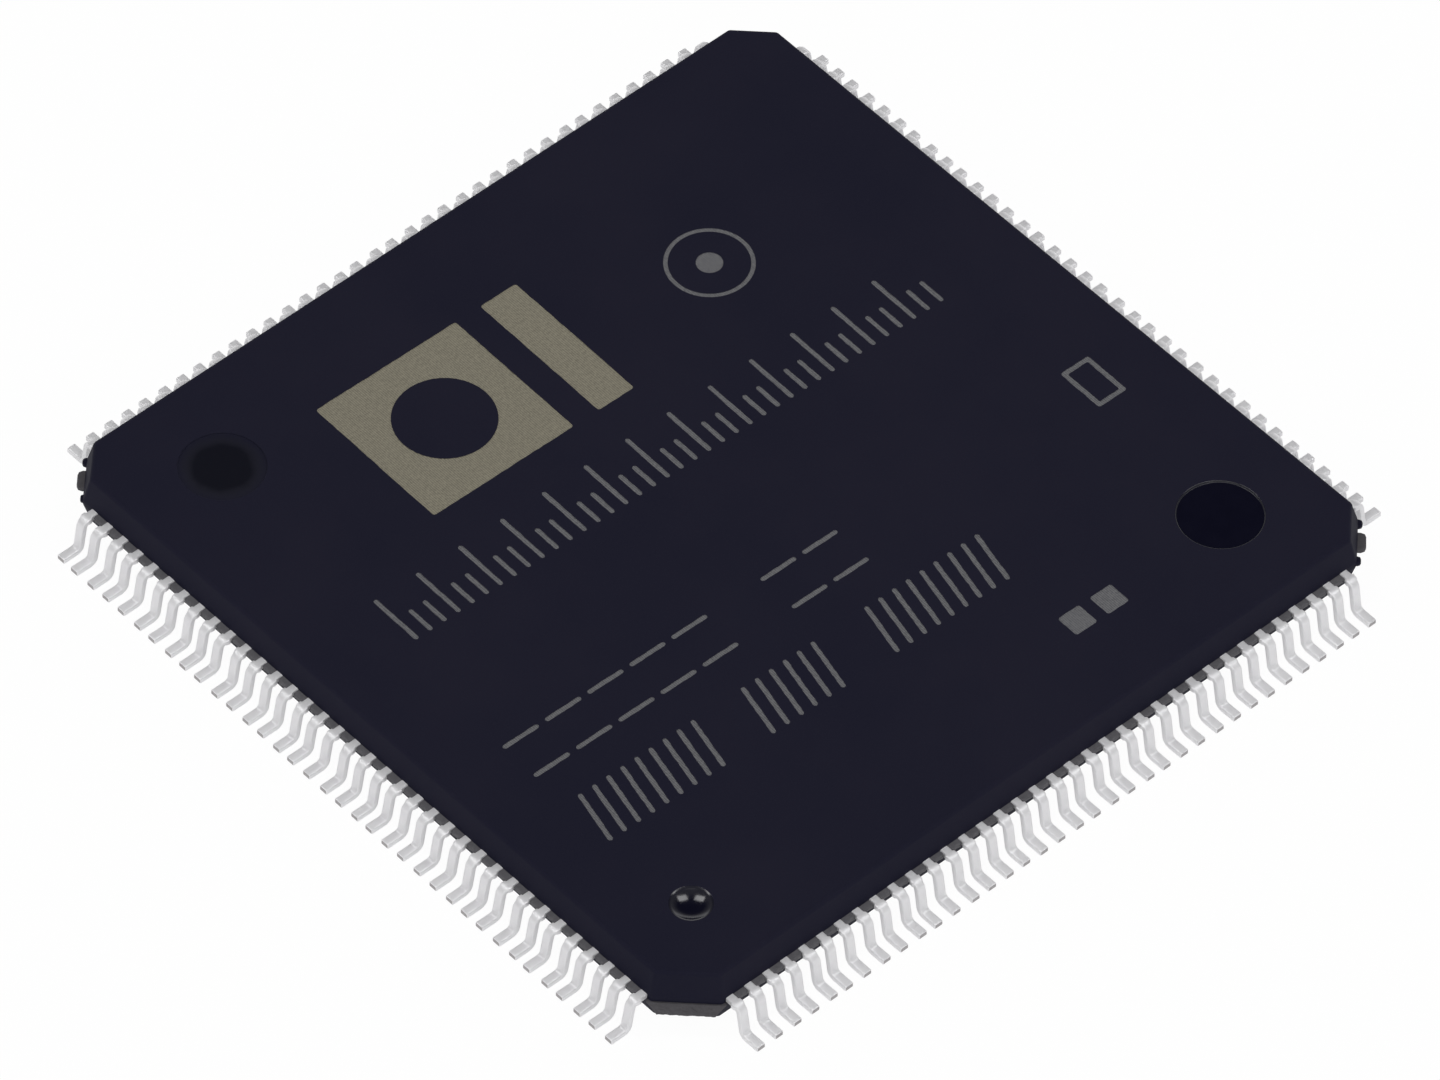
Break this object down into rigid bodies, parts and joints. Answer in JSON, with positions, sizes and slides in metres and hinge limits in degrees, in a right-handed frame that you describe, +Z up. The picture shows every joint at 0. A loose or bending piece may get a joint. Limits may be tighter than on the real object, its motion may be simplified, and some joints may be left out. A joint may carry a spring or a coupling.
{
  "type": "quad flat pack chip",
  "caption": "Thin square black moulded chip package with fine gull-wing leads along every side, for soldering flat onto a circuit board.",
  "frame": {"origin": "centre of the body on the seating plane, under the soles of the feet", "axes": "+Z up, away from the circuit board; -Y is the front row and -X the left row, which meet at the corner with the round dimple; -Y is where the leads are counted from"},
  "size_m": [0.022, 0.022, 0.0015],
  "materials": {
    "mould_compound": "fine matte black moulding compound",
    "tin_plate": "matte tin plate over copper alloy",
    "copper_frame": "bare copper alloy",
    "die_glue": "silver-filled glue",
    "silicon": "polished silicon",
    "polyimide_tape": "clear amber film",
    "gold_wire": "drawn gold wire"
  },
  "bodies": {
    "root": {"mould_body": "mould_compound", "die_paddle": "copper_frame", "die_attach": "die_glue", "die": "silicon", "lead_tape": "polyimide_tape", "front_leads_1": "tin_plate", "front_leads_2": "tin_plate", "front_leads_3": "tin_plate", "front_leads_4": "tin_plate", "front_leads_5": "tin_plate", "front_leads_6": "tin_plate", "right_leads_1": "tin_plate", "right_leads_2": "tin_plate", "right_leads_3": "tin_plate", "right_leads_4": "tin_plate", "right_leads_5": "tin_plate", "right_leads_6": "tin_plate", "back_leads_1": "tin_plate", "back_leads_2": "tin_plate", "back_leads_3": "tin_plate", "back_leads_4": "tin_plate", "back_leads_5": "tin_plate", "back_leads_6": "tin_plate", "left_leads_1": "tin_plate", "left_leads_2": "tin_plate", "left_leads_3": "tin_plate", "left_leads_4": "tin_plate", "left_leads_5": "tin_plate", "left_leads_6": "tin_plate", "front_wires_1": "gold_wire", "front_wires_2": "gold_wire", "front_wires_3": "gold_wire", "front_wires_4": "gold_wire", "front_wires_5": "gold_wire", "front_wires_6": "gold_wire", "right_wires_1": "gold_wire", "right_wires_2": "gold_wire", "right_wires_3": "gold_wire", "right_wires_4": "gold_wire", "right_wires_5": "gold_wire", "right_wires_6": "gold_wire", "back_wires_1": "gold_wire", "back_wires_2": "gold_wire", "back_wires_3": "gold_wire", "back_wires_4": "gold_wire", "back_wires_5": "gold_wire", "back_wires_6": "gold_wire", "left_wires_1": "gold_wire", "left_wires_2": "gold_wire", "left_wires_3": "gold_wire", "left_wires_4": "gold_wire", "left_wires_5": "gold_wire", "left_wires_6": "gold_wire"}
  },
  "joints": []
}
